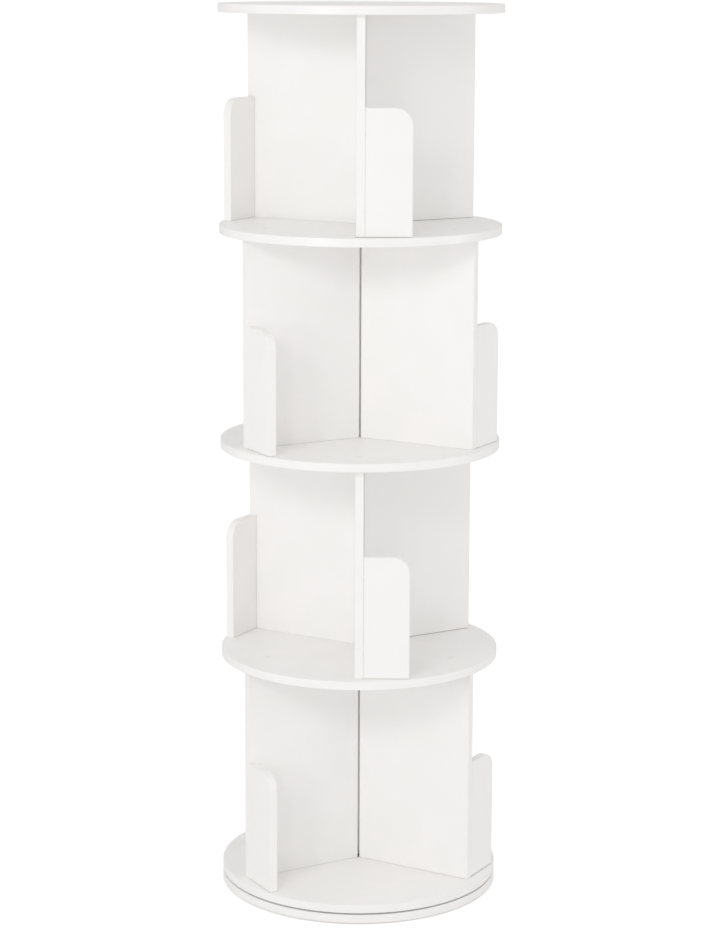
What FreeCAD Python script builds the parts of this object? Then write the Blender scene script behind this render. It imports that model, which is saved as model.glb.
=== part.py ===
import FreeCAD, Part
import math
import os

from FreeCAD import Vector

# Rotating media tower.
#
# Round boards carry four tiers of upright panels set like the spokes of a wheel. Each tier is turned half a
# panel spacing from the next, so that every board can be screwed to the panels below it and above it. Each
# panel carries a low stop that keeps discs and books on the shelf. The tower turns on glides that lie on the
# base board, about a bolt that is held in the base board and runs in a bush of the bottom board.
#
# Screws, dowels and plugs, and the holes that take them, have six flats in place of a round wall, and the
# glides have twelve, because there are so many of them.
#
# Millimetres. Z is up, the origin is on the floor under the middle of the base, and the front faces -Y.

# Round boards
disc_diameter = 400.0  # base board, bottom board, shelves and top board
disc_thickness = 12.0
turntable_gap = 2.5  # open slot between the base board and the turning bottom board

# Tiers
tier_count = 4
bottom_tier_height = 313.0  # clear height of the lowest tier
upper_tier_height = 295.0  # clear height of every other tier
panels_per_tier = 3
first_panel_azimuth = -30.0  # the lowest tier's first panel, in degrees from +X

# Upright panels
panel_thickness = 12.0
panel_setback = 15.0  # from the rim of the boards to the outer edge of a panel
panel_arris = 0.8  # chamfer along the four upright edges
core_slit = 1.6  # between the inner corners of neighbouring panels

# Stops
stop_width = 64.0  # how far a stop reaches out of its panel's face
stop_thickness = 12.0
stop_height = 173.0
stop_corner_radius = 24.0  # upper outer corner

# Screws between boards and panels
screw_radius = 151.0  # from the tower's axis to the screw
screw_grip = 33.0  # length inside the panel, driven from below
screw_shank = 4.0
screw_head = 7.0
screw_head_height = 2.0
screw_tip = 1.2  # width at the blunt end of the tip
screw_tip_length = 4.0
plug_width = 8.0  # plug that hides a screw head in the upper face of a board
plug_thickness = 2.0

# Dowels between boards, panels and stops
dowel_width = 6.0
dowel_length = 30.0
dowel_cover = 4.0  # material left between a dowel and the far face of the board
panel_dowel_radius = 55.0  # from the tower's axis to the dowel
stop_dowel_margin = 35.0  # from the lower and upper edge of a stop to its dowels

# Pivot
bolt_diameter = 6.0
bolt_head_diameter = 16.0
bolt_head_height = 3.0
bolt_head_chamfer = 1.0
bolt_neck_width = 6.0  # square neck that keeps the bolt from turning in the base board
bolt_neck_height = 4.0
bush_wall = 2.0
bush_flange_diameter = 12.5
bush_flange_thickness = 1.0
washer_diameter = 12.0
washer_thickness = 1.2
nut_width = 10.0  # across flats
nut_height = 4.0

# Glides between the base board and the bottom board, and pads under the base board
glide_count = 6
glide_diameter = 20.0
glide_setback = 40.0  # from the rim of the base board to the middle of a glide
pad_count = 6
pad_width = 25.0
pad_thickness = 2.0
pad_setback = 35.0  # from the rim of the base board to the middle of a pad

# Clearances
hole_clearance = 0.05  # around the shanks of screws, dowels and the bush
hole_bottom_clearance = 1.0  # beyond the end of a screw or dowel
plug_depth_clearance = 0.1  # how far a plug lies below the face of its board
bolt_clearance = 0.05  # between the bolt and what is threaded or turns on it
neck_clearance = 0.1  # between the square neck and the base board
recess_clearance = 1.0  # around the bolt's head and nut, and beyond their ends
glide_clearance = 0.05  # between the glides and the bottom board

# Flat sides of the bars that are drawn with flats
FASTENER_SIDES = 6
GLIDE_SIDES = 12
NUT_SIDES = 6

# Derived sizes
disc_radius = disc_diameter / 2
half_spacing = math.radians(180.0 / panels_per_tier)
base_bottom = pad_thickness
base_top = base_bottom + disc_thickness
bottom_board_bottom = base_top + turntable_gap
bottom_board_top = bottom_board_bottom + disc_thickness
screw_length = disc_thickness + screw_grip
panel_outer = disc_radius - panel_setback
panel_inner = (core_slit / 2 + panel_thickness / 2 * math.cos(half_spacing)) / math.sin(half_spacing)
bolt_head_bottom = base_bottom + recess_clearance
bolt_neck_bottom = bolt_head_bottom + bolt_head_height
nut_across_corners = nut_width / math.cos(math.pi / NUT_SIDES)
nut_recess_depth = bush_flange_thickness + washer_thickness + nut_height + recess_clearance
nut_recess_floor = bottom_board_top - nut_recess_depth
washer_bottom = nut_recess_floor + bush_flange_thickness
nut_bottom = washer_bottom + washer_thickness
bolt_end = nut_bottom + nut_height
widest_in_recess = max(bush_flange_diameter, washer_diameter, nut_across_corners)
nut_recess_diameter = widest_in_recess + 2 * recess_clearance

ORIGIN = Vector(0, 0, 0)
UP = Vector(0, 0, 1)
RADIAL = Vector(1, 0, 0)


def revolved(profile):
    """Solid of revolution about Z of a closed outline of (radius, height) points."""
    points = [Vector(radius, 0, height) for radius, height in profile]
    face = Part.Face(Part.makePolygon(points + points[:1]))
    return face.revolve(ORIGIN, UP, 360)


def cylinder(diameter, bottom, top):
    """Round bar about Z between two heights."""
    return Part.makeCylinder(diameter / 2, top - bottom, UP * bottom)


def faceted(sections, sides=FASTENER_SIDES):
    """Bar about Z with flat sides, through sections given as (width across corners, height)."""
    rings = []
    for width, height in sections:
        angles = [2 * math.pi * side / sides for side in range(sides)]
        rings.append([Vector(width / 2 * math.cos(a), width / 2 * math.sin(a), height) for a in angles])
    outlines = [rings[0], rings[-1]]
    for upper, lower in zip(rings, rings[1:]):
        outlines += [[upper[side - 1], upper[side], lower[side], lower[side - 1]] for side in range(sides)]
    faces = [Part.Face(Part.makePolygon(outline + outline[:1])) for outline in outlines]
    return Part.makeSolid(Part.makeShell(faces))


def around(shape, count, first_azimuth=0.0):
    """Copies of a shape evenly spaced about Z."""
    return [shape.rotated(ORIGIN, UP, first_azimuth + 360.0 / count * index) for index in range(count)]


def flipped(shape):
    """The shape turned upside down about the X axis."""
    return shape.rotated(ORIGIN, RADIAL, 180)


def at(shape, radius, height):
    """The shape moved out along X and up."""
    return shape.translated(Vector(radius, 0, height))


# Levels and places of the tiers


def tier_height(tier):
    """Clear height of a tier; tier 1 is the lowest."""
    return bottom_tier_height if tier == 1 else upper_tier_height


def board_bottom(level):
    """Underside of a turning board; level 0 is the bottom board and each tier adds one level."""
    return bottom_board_bottom + sum(tier_height(tier) + disc_thickness for tier in range(1, level + 1))


def tier_floor(tier):
    """Top face of the board that a tier stands on."""
    return board_bottom(tier - 1) + disc_thickness


def tier_azimuth(tier):
    """Direction of a tier's first panel; every second tier is turned by half the panel spacing."""
    return first_panel_azimuth + math.degrees(half_spacing) * ((tier + 1) % 2)


def in_tier(shape, tier):
    """Copies of a shape drawn along +X on a tier's floor, one at each panel of the tier."""
    return around(at(shape, 0, tier_floor(tier)), panels_per_tier, tier_azimuth(tier))


# Fasteners and the holes that take them, drawn downwards from the head or the seated end at the origin


def screw():
    """Countersunk wood screw with a blunt tip."""
    return faceted(
        [
            (screw_head, 0),
            (screw_shank, -screw_head_height),
            (screw_shank, screw_tip_length - screw_length),
            (screw_tip, -screw_length),
        ]
    )


def screw_hole():
    """Countersink that fits the head, and a straight hole for the shank."""
    countersink = faceted([(screw_head, 0), (screw_shank, -screw_head_height)])
    width = screw_shank + 2 * hole_clearance
    return countersink.fuse(faceted([(width, 0), (width, -screw_length - hole_bottom_clearance)]))


def dowel():
    """Plain beech dowel."""
    return faceted([(dowel_width, 0), (dowel_width, -dowel_length)])


def dowel_hole():
    """Hole for a dowel, with room for glue beyond its lower end."""
    width = dowel_width + 2 * hole_clearance
    return faceted([(width, 0), (width, -dowel_length - hole_bottom_clearance)])


def plug():
    """Plug over a screw head, standing on the head."""
    return faceted([(plug_width, 0), (plug_width, plug_thickness - plug_depth_clearance)])


def plug_seat():
    """Recess for a plug, from the screw head up to the face of the board."""
    width = plug_width + 2 * hole_clearance
    return faceted([(width, 0), (width, plug_thickness)])


# Places of one panel's fasteners, drawn along +X from the tier's floor


def at_foot_screw(shape):
    """Up through the board below, with the head flush with its underside."""
    return at(flipped(shape), screw_radius, -disc_thickness)


def at_head_screw(shape, height):
    """Down through the board above, with the head under its plug."""
    return at(shape, screw_radius, height + disc_thickness - plug_thickness)


def at_foot_dowel(shape):
    """Between the panel and the board below."""
    return at(flipped(shape), panel_dowel_radius, dowel_cover - disc_thickness)


def at_head_dowel(shape, height):
    """Between the panel and the board above."""
    return at(shape, panel_dowel_radius, height + disc_thickness - dowel_cover)


def at_stop_dowels(shape):
    """Across the joint between the panel's face and the stop, near both ends of the stop."""
    across = shape.rotated(ORIGIN, RADIAL, 90)
    seat = Vector(panel_outer - stop_thickness / 2, dowel_cover - panel_thickness / 2, 0)
    heights = [stop_dowel_margin, stop_height - stop_dowel_margin]
    return [across.translated(seat + UP * height) for height in heights]


def foot_holes():
    """Holes at the lower end of a panel and in the board below it."""
    return [at_foot_screw(screw_hole()), at_foot_dowel(dowel_hole())]


def head_holes(height):
    """Holes at the upper end of a panel and in the board above it."""
    return [
        at_head_screw(screw_hole(), height),
        at_head_screw(plug_seat(), height),
        at_head_dowel(dowel_hole(), height),
    ]


# Round boards


def base_board():
    """Fixed board on the floor, with the bolt's hole, the recess for its head and the seat of its neck."""
    neck_width = bolt_neck_width + 2 * neck_clearance
    neck_corner = Vector(-neck_width / 2, -neck_width / 2, bolt_neck_bottom)
    cuts = [
        cylinder(bolt_head_diameter + 2 * recess_clearance, base_bottom, bolt_neck_bottom),
        Part.makeBox(neck_width, neck_width, bolt_neck_height, neck_corner),
        cylinder(bolt_diameter + 2 * bolt_clearance, base_bottom, base_top),
    ]
    return cylinder(disc_diameter, base_bottom, base_top).cut(cuts)


def turning_board(level):
    """Board of the turning tower, drilled for the tier below it and the tier above it."""
    cuts = []
    if level == 0:
        bush_hole = bolt_diameter + 2 * (bolt_clearance + bush_wall + hole_clearance)
        cuts.append(cylinder(bush_hole, bottom_board_bottom, bottom_board_top))
        cuts.append(cylinder(nut_recess_diameter, nut_recess_floor, bottom_board_top))
    else:
        cuts += [copy for hole in head_holes(tier_height(level)) for copy in in_tier(hole, level)]
    if level < tier_count:
        cuts += [copy for hole in foot_holes() for copy in in_tier(hole, level + 1)]
    bottom = board_bottom(level)
    return cylinder(disc_diameter, bottom, bottom + disc_thickness).cut(cuts)


# Panels and stops


def panel(height):
    """Upright panel along +X, with chamfered upright edges and the holes for its fasteners."""
    half = panel_thickness / 2
    outline = [
        Vector(panel_inner + panel_arris, -half, 0),
        Vector(panel_outer - panel_arris, -half, 0),
        Vector(panel_outer, panel_arris - half, 0),
        Vector(panel_outer, half - panel_arris, 0),
        Vector(panel_outer - panel_arris, half, 0),
        Vector(panel_inner + panel_arris, half, 0),
        Vector(panel_inner, half - panel_arris, 0),
        Vector(panel_inner, panel_arris - half, 0),
    ]
    board = Part.Face(Part.makePolygon(outline + outline[:1])).extrude(UP * height)
    return board.cut(foot_holes() + head_holes(height) + at_stop_dowels(dowel_hole()))


def stop():
    """Low board across the outer edge of a panel, with one rounded corner."""
    inner = panel_outer - stop_thickness
    near = panel_thickness / 2
    far = near + stop_width
    bend = stop_corner_radius * (1 - math.sqrt(0.5))
    foot_near = Vector(inner, near, 0)
    foot_far = Vector(inner, far, 0)
    bend_start = Vector(inner, far, stop_height - stop_corner_radius)
    bend_middle = Vector(inner, far - bend, stop_height - bend)
    bend_end = Vector(inner, far - stop_corner_radius, stop_height)
    top_near = Vector(inner, near, stop_height)
    edges = [
        Part.makeLine(foot_near, foot_far),
        Part.makeLine(foot_far, bend_start),
        Part.Arc(bend_start, bend_middle, bend_end).toShape(),
        Part.makeLine(bend_end, top_near),
        Part.makeLine(top_near, foot_near),
    ]
    board = Part.Face(Part.Wire(edges)).extrude(RADIAL * stop_thickness)
    return board.cut(at_stop_dowels(dowel_hole()))


# Pivot, glides and pads


def pivot_bolt():
    """Bolt with a chamfered flat head in the base board and a square neck above the head."""
    head_radius = bolt_head_diameter / 2
    shank_radius = bolt_diameter / 2
    turned = revolved(
        [
            (0, bolt_head_bottom),
            (head_radius - bolt_head_chamfer, bolt_head_bottom),
            (head_radius, bolt_head_bottom + bolt_head_chamfer),
            (head_radius, bolt_neck_bottom),
            (shank_radius, bolt_neck_bottom),
            (shank_radius, bolt_end),
            (0, bolt_end),
        ]
    )
    corner = Vector(-bolt_neck_width / 2, -bolt_neck_width / 2, bolt_neck_bottom)
    return turned.fuse(Part.makeBox(bolt_neck_width, bolt_neck_width, bolt_neck_height, corner))


def pivot_bush():
    """Flanged bush in the bottom board, running on the bolt."""
    bore = bolt_diameter / 2 + bolt_clearance
    return revolved(
        [
            (bore, bottom_board_bottom),
            (bore + bush_wall, bottom_board_bottom),
            (bore + bush_wall, nut_recess_floor),
            (bush_flange_diameter / 2, nut_recess_floor),
            (bush_flange_diameter / 2, washer_bottom),
            (bore, washer_bottom),
        ]
    )


def pivot_washer():
    """Washer between the bush and the nut."""
    bore = cylinder(bolt_diameter + 2 * bolt_clearance, washer_bottom, nut_bottom)
    return cylinder(washer_diameter, washer_bottom, nut_bottom).cut(bore)


def pivot_nut():
    """Thin hexagon lock nut."""
    top = nut_bottom + nut_height
    bore = cylinder(bolt_diameter + 2 * bolt_clearance, nut_bottom, top)
    return faceted([(nut_across_corners, nut_bottom), (nut_across_corners, top)], NUT_SIDES).cut(bore)


def glides():
    """Low-friction discs on the base board that the bottom board turns on."""
    sections = [(glide_diameter, base_top), (glide_diameter, bottom_board_bottom - glide_clearance)]
    glide = faceted(sections, GLIDE_SIDES)
    return around(at(glide, disc_radius - glide_setback, 0), glide_count)


def foot_pads():
    """Square pads under the base board."""
    corner = Vector(-pad_width / 2, -pad_width / 2, 0)
    pad = Part.makeBox(pad_width, pad_width, pad_thickness, corner)
    return around(at(pad, disc_radius - pad_setback, 0), pad_count)


def screw_plugs():
    """Plugs over the screw heads in the upper faces of the shelves and the top board."""
    tiers = range(1, tier_count + 1)
    return [copy for tier in tiers for copy in in_tier(at_head_screw(plug(), tier_height(tier)), tier)]


# Nodes


def board_name(level):
    """Name of a turning board."""
    if level == 0:
        return "bottom_board"
    if level == tier_count:
        return "top_board"
    return f"shelf_{level}"


def tier_nodes(tier):
    """Panels, stops, screws and dowels of one tier."""
    height = tier_height(tier)
    nodes = {}
    for index, solid in enumerate(in_tier(panel(height), tier), start=1):
        nodes[f"tier_{tier}_panel_{index}"] = [solid]
    for index, solid in enumerate(in_tier(stop(), tier), start=1):
        nodes[f"tier_{tier}_stop_{index}"] = [solid]
    nodes[f"tier_{tier}_foot_screws"] = in_tier(at_foot_screw(screw()), tier)
    nodes[f"tier_{tier}_head_screws"] = in_tier(at_head_screw(screw(), height), tier)
    dowels = [at_foot_dowel(dowel()), at_head_dowel(dowel(), height)] + at_stop_dowels(dowel())
    nodes[f"tier_{tier}_dowels"] = [copy for shape in dowels for copy in in_tier(shape, tier)]
    return nodes


def all_nodes():
    """Every node of the tower, as a name and the list of its solids."""
    nodes = {
        "foot_pads": foot_pads(),
        "base_board": [base_board()],
        "glides": glides(),
        "pivot_bolt": [pivot_bolt()],
        "pivot_bush": [pivot_bush()],
        "pivot_washer": [pivot_washer()],
        "pivot_nut": [pivot_nut()],
        "screw_plugs": screw_plugs(),
    }
    for level in range(tier_count + 1):
        nodes[board_name(level)] = [turning_board(level)]
    for tier in range(1, tier_count + 1):
        nodes.update(tier_nodes(tier))
    return nodes


def export(name, solids):
    """Write one node to its own STEP file, a group of pieces as separate solids."""
    shape = solids[0] if len(solids) == 1 else Part.makeCompound(solids)
    shape.exportStep(f"parts/{name}.step")


os.makedirs("parts", exist_ok=True)
for node_name, node_solids in all_nodes().items():
    export(node_name, node_solids)
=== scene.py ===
"""Rotating media tower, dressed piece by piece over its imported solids.

Round boards carry four tiers of upright panels set like the spokes of a wheel, with a low stop at the outer
edge of every panel. The tower turns on glides that lie on the base board, about a bolt in the middle.

Sizes are in millimetres and angles in degrees. Z is up, the origin is on the floor under the middle of the
base, and the front faces -Y. Each surface is worked out as whole arrays of points with their normals, welded
into one closed mesh, and turned into metres only when the mesh is made.
"""

import logging
import math
from collections.abc import Sequence
from dataclasses import dataclass, replace
from enum import Enum, IntEnum
from functools import cache

import bpy
import numpy as np
from mathutils import Matrix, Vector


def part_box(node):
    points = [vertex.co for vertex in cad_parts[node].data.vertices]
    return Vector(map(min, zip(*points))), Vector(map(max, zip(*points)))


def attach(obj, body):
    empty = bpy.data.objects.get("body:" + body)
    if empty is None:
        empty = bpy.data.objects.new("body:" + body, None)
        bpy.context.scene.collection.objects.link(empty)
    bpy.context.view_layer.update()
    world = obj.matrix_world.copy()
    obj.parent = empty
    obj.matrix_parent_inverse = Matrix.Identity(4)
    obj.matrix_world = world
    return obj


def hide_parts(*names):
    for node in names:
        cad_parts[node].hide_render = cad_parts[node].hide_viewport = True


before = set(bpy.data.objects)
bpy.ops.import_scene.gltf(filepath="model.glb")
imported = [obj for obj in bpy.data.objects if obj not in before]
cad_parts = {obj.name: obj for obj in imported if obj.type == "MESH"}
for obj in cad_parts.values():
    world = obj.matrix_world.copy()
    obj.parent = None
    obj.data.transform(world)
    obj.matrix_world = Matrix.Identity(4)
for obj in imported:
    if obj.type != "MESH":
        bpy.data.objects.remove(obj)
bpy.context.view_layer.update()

Array = np.ndarray
Pair = tuple[float, float]
METRES = 0.001  # metres in a millimetre
WELD_STEPS = 1000.0  # steps in a millimetre; points on the same step are one point
WELD_SHIFT = 0.37  # keeps round sizes away from the limits between steps
DECIMALS = 3  # of a millimetre, to which a solid's levels are rounded
TINY = 1e-9  # length under which a vector has no direction
UP = np.array([0.0, 0.0, 1.0])

STOCK = 12.0  # thickness of boards, panels and stops
PANEL_OUTER = 185.0  # distance of the panels' and stops' outer ends from the axis
SCREW_CIRCLE = 151.0  # distance of the screws and their caps from the axis

log = logging.getLogger("media_tower")


class Body(Enum):
    """Bodies that turn against each other."""

    BASE = "base"
    TOWER = "tower"


class Slot(Enum):
    """Material slots of the record."""

    MELAMINE = "white_melamine"
    PLASTIC = "white_plastic"
    STEEL = "zinc_steel"
    NYLON = "nylon"
    BEECH = "beech"
    FELT = "felt"


class Zone(IntEnum):
    """What covers a stretch of a board's surface, in the order of the board's materials."""

    FACE = 0
    EDGING = 1
    GLUE_LINE = 2
    CORE = 3


# Surfaces


@dataclass(frozen=True)
class Line:
    """Line in a plane, made of straight runs and rounded corners.

    The material lies on the left of the line's direction, so a closed line runs counter-clockwise.

    Attributes:
        points: One row (x, y) for each point; a closed line repeats its first point at the end.
        normals: Unit normal at each point, away from the material.
        mitres: How far each point moves when the line is offset outwards by one.
        zones: What covers each stretch between two points.
    """

    points: Array
    normals: Array
    mitres: Array
    zones: Array


@dataclass(frozen=True)
class Patch:
    """Grid of surface points with their outward normals.

    Attributes:
        points: Rows by columns by (x, y, z).
        normals: Unit normals, shaped like the points.
        zones: What covers each face, as one number or as a grid with a row and a column less than the points.
        open_faces: Faces that are left out, as a grid of true and false, or None.
    """

    points: Array
    normals: Array
    zones: Array | int = 0
    open_faces: Array | None = None


@dataclass(frozen=True)
class Shape:
    """Welded mesh of faces with three or four corners.

    Attributes:
        points: One row (x, y, z) for each point.
        corners: Point of every corner, face after face.
        normals: Unit normal at every corner.
        starts: First corner of each face.
        zones: What covers each face.
    """

    points: Array
    corners: Array
    normals: Array
    starts: Array
    zones: Array

    def placed(self, x: float = 0.0, y: float = 0.0, z: float = 0.0, azimuth: float = 0.0) -> "Shape":
        """Move the shape, then turn it about the tower's axis.

        Args:
            x: Move along X.
            y: Move along Y.
            z: Move along Z.
            azimuth: Turn about the Z axis.

        Returns:
            The moved shape.
        """
        cosine, sine = math.cos(math.radians(azimuth)), math.sin(math.radians(azimuth))
        turn = np.array([[cosine, sine, 0], [-sine, cosine, 0], [0, 0, 1]])
        return replace(self, points=(self.points + (x, y, z)) @ turn, normals=self.normals @ turn)

    def flipped(self) -> "Shape":
        """The shape turned upside down about the X axis."""
        turn = np.array([1.0, -1.0, -1.0])
        return replace(self, points=self.points * turn, normals=self.normals * turn)

    def stood_up(self) -> "Shape":
        """The shape with X turned to Y, Y to Z and Z to X."""
        return replace(self, points=np.roll(self.points, 1, axis=1), normals=np.roll(self.normals, 1, axis=1))

    def leaning(self) -> "Shape":
        """The shape turned a quarter about the X axis, so that what pointed up points along -Y."""
        swap, sign = [0, 2, 1], np.array([1.0, -1.0, 1.0])
        return replace(self, points=self.points[:, swap] * sign, normals=self.normals[:, swap] * sign)


def joined(shapes: list[Shape]) -> Shape:
    """Several shapes as one, without welding them.

    Args:
        shapes: Shapes to put together.

    Returns:
        One shape that holds the points and faces of all of them.
    """
    first_point = np.cumsum([0] + [len(shape.points) for shape in shapes])
    first_corner = np.cumsum([0] + [len(shape.corners) for shape in shapes])
    return Shape(
        np.concatenate([shape.points for shape in shapes]),
        np.concatenate([shape.corners + first for shape, first in zip(shapes, first_point)]),
        np.concatenate([shape.normals for shape in shapes]),
        np.concatenate([shape.starts + first for shape, first in zip(shapes, first_corner)]),
        np.concatenate([shape.zones for shape in shapes]),
    )


def evenly(count: int) -> Array:
    """Azimuths of directions that are evenly spaced round the axis."""
    return np.arange(count) * 360.0 / count


def repeated(shape: Shape, azimuths: Sequence[float], x: float = 0.0, z: float = 0.0) -> Shape:
    """Copies of a shape, each moved by (x, 0, z) and then turned to an azimuth."""
    return joined([shape.placed(x=x, z=z, azimuth=azimuth) for azimuth in azimuths])


def weld(patches: list[Patch]) -> Shape:
    """Patches sewn into one mesh.

    Every grid cell is a face of four corners. Corners on the same step of a fine lattice become one point, so
    a face that loses one corner becomes a triangle, and one that loses two is dropped. Each face is wound so
    that it looks the way its normals point.

    Args:
        patches: Grids whose edges meet point by point.

    Returns:
        The welded mesh.
    """
    corners, normals, zones = [], [], []
    for patch in patches:
        rows, columns = patch.points.shape[0] - 1, patch.points.shape[1] - 1
        kept = np.ones((rows, columns), bool) if patch.open_faces is None else ~patch.open_faces
        for grid, gathered in ((patch.points, corners), (patch.normals, normals)):
            cells = np.stack([grid[:-1, :-1], grid[:-1, 1:], grid[1:, 1:], grid[1:, :-1]], axis=2)
            gathered.append(cells[kept])
        zones.append(np.broadcast_to(np.asarray(patch.zones), (rows, columns))[kept])
    corners, normals, zones = np.concatenate(corners), np.concatenate(normals), np.concatenate(zones)
    looks = np.cross(corners[:, 2] - corners[:, 0], corners[:, 3] - corners[:, 1])
    wrong = np.einsum("ij,ij->i", looks, normals.mean(axis=1)) < 0
    corners[wrong], normals[wrong] = corners[wrong, ::-1], normals[wrong, ::-1]
    lattice = np.floor(corners.reshape(-1, 3) * WELD_STEPS + WELD_SHIFT).astype(np.int64)
    _, first, index = np.unique(lattice, axis=0, return_index=True, return_inverse=True)
    index = index.reshape(-1, 4)
    used = index != np.roll(index, 1, axis=1)
    whole = used.sum(axis=1) >= 3
    used, index, normals, zones = used[whole], index[whole], normals[whole], zones[whole]
    starts = np.concatenate([[0], np.cumsum(used.sum(axis=1))[:-1]])
    return Shape(corners.reshape(-1, 3)[first], index[used], normals[used], starts, zones)


def unit(vectors: Array) -> Array:
    """Vectors along the last axis scaled to length one."""
    return vectors / np.linalg.norm(vectors, axis=-1, keepdims=True)


def bent_line(
    corners: Sequence[Pair],
    radii: Sequence[float],
    zones: Sequence[int] | int = 0,
    closed: bool = True,
    steps: int = 4,
) -> Line:
    """Line through corner points, each rounded by an arc.

    With the unit normals m and n of the runs before and after a corner, the mitre is (m + n) / (1 + m.n). An
    arc of radius r has its middle at corner - r * mitre and its points at middle + r * normal, where the
    normal's angle goes evenly from m to n. In a hollow corner r counts as negative. With no radius the points
    stay at the corner and only the normal turns, which keeps it sharp.

    Args:
        corners: Corner points in order, with the material on the left.
        radii: Radius at each corner.
        zones: What covers each corner's arc and the run after it, as one number or one for each corner.
        closed: Whether the last corner is joined to the first.
        steps: Straight pieces in each arc.

    Returns:
        The line.
    """
    places = np.array(corners, float)
    runs = unit(np.roll(places, -1, axis=0) - places)
    after = np.stack([runs[:, 1], -runs[:, 0]], axis=1)
    if not closed:
        after[-1] = after[-2]
    before = np.roll(after, 1, axis=0)
    if not closed:
        before[0] = after[0]
    mitre = (before + after) / (1 + np.sum(before * after, axis=1, keepdims=True))
    start = np.arctan2(before[:, 1], before[:, 0])
    turn = (np.arctan2(after[:, 1], after[:, 0]) - start + math.pi) % (2 * math.pi) - math.pi
    angles = start[:, None] + turn[:, None] * np.linspace(0, 1, steps + 1)
    normals = np.stack([np.cos(angles), np.sin(angles)], axis=2)
    normals[:, 0], normals[:, -1] = before, after
    bends = (np.array(radii, float) * np.sign(turn))[:, None, None]
    points = places[:, None] + bends * (normals - mitre[:, None])
    mitres = np.where(bends == 0, mitre[:, None], normals)
    covers = np.repeat(np.broadcast_to(zones, len(corners)), steps + 1)
    points, normals, mitres = points.reshape(-1, 2), normals.reshape(-1, 2), mitres.reshape(-1, 2)
    if closed:
        return Line(*(np.concatenate([part, part[:1]]) for part in (points, normals, mitres)), covers)
    return Line(points, normals, mitres, covers[:-1])


def round_angles(count: int) -> Array:
    """Angles of a full turn in equal steps, in radians, with the first one again at the end."""
    return (np.arange(count + 1) % count) * (2 * math.pi / count)


def circle(radius: float, count: int) -> Line:
    """Circle about the origin.

    Point k lies at radius * (cos, sin) of the angle k / count of a full turn.

    Args:
        radius: Radius of the circle.
        count: Number of straight pieces.

    Returns:
        The closed line.
    """
    angles = round_angles(count)
    normals = np.stack([np.cos(angles), np.sin(angles)], axis=1)
    return Line(radius * normals, normals, normals, np.zeros(count, int))


def carried(outline: Line, profile: Line, zones_along_outline: bool = False) -> Patch:
    """Profile carried round an outline that lies flat.

    The point of profile row v and outline column u is outline(u) + offset(v) * mitre(u), at height(v). Its
    normal has the outline's normal times the profile's outward part, and the profile's upward part.

    Args:
        outline: Line in the plane of X and Y.
        profile: Line whose points are (offset outwards, height).
        zones_along_outline: Takes what covers the faces from the outline and not from the profile.

    Returns:
        The carried surface.
    """
    offset, height = profile.points[:, 0, None], profile.points[:, 1, None]
    flat = outline.points[None] + offset[..., None] * outline.mitres[None]
    points = np.dstack([flat, np.broadcast_to(height, flat.shape[:2])])
    outward, upward = profile.normals[:, 0, None, None], profile.normals[:, 1, None]
    normals = np.dstack([outward * outline.normals[None], np.broadcast_to(upward, flat.shape[:2])])
    covers = outline.zones[None, :] if zones_along_outline else profile.zones[:, None]
    return Patch(points, normals, np.broadcast_to(covers, (len(points) - 1, points.shape[1] - 1)))


def turned(profile: Line, columns: int) -> Patch:
    """Profile of points (radius, height) carried round the Z axis."""
    return carried(circle(0.0, columns), profile)


def flat_patch(plan: Array, height: float, up: int, zone: int = 0, open_faces: Array | None = None) -> Patch:
    """Level face over a grid of places.

    Args:
        plan: Rows by columns by (x, y).
        height: Height of the face.
        up: 1 where the face looks up and -1 where it looks down.
        zone: What covers the face.
        open_faces: Faces that are left out, or None.

    Returns:
        The face.
    """
    points = np.dstack([plan, np.full(plan.shape[:2], height)])
    return Patch(points, np.broadcast_to(up * UP, points.shape), zone, open_faces)


def lid(outline: Line, offset: float, height: float, up: int, zone: int = 0) -> Patch:
    """Flat face inside a closed convex outline.

    Points from the two ends of the outline are paired, and each pair is a rung of a ladder that fills it.

    Args:
        outline: Closed convex line in the plane of X and Y.
        offset: How far outside the outline the face ends.
        height: Height of the face.
        up: 1 where the face looks up and -1 where it looks down.
        zone: What covers the face.

    Returns:
        The face.
    """
    ring = (outline.points + offset * outline.mitres)[:-1]
    half = (len(ring) + 1) // 2
    return flat_patch(np.stack([ring[:half], ring[::-1][:half]], axis=1), height, up, zone)


def outwards(columns: int) -> Array:
    """Unit directions away from the Z axis, all the way round."""
    return np.pad(circle(1.0, columns).points, ((0, 0), (0, 1)))


def ringed(radius: Array, heights: Array, columns: int) -> Array:
    """Points at a radius for each row and direction round the Z axis, and a height for each row."""
    return radius[..., None] * outwards(columns) + heights[..., None] * UP


def tilted(points: Array, side: Array) -> Array:
    """Normals of a grid that closes on itself sideways.

    The normal is the cross product of the steps along the columns and along the rows, each taken from the
    point before to the point after. It is turned to the given side, which it also takes where a row is one
    point.

    Args:
        points: Rows by columns by (x, y, z), the last column equal to the first.
        side: Direction on the side that the surface faces, one for all points or one for each.

    Returns:
        Unit normals, shaped like the points.
    """
    ring, facing = points[:, :-1], np.broadcast_to(side, points.shape)[:, :-1]
    along = np.roll(ring, -1, axis=1) - np.roll(ring, 1, axis=1)
    normals = np.cross(along, np.gradient(ring, axis=0))
    length = np.linalg.norm(normals, axis=2, keepdims=True)
    normals = np.where(length > TINY, normals / np.maximum(length, TINY), facing)
    normals = np.where(np.sum(normals * facing, axis=2, keepdims=True) < 0, -normals, normals)
    return np.concatenate([normals, normals[:, :1]], axis=1)


# Colours and materials

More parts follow.
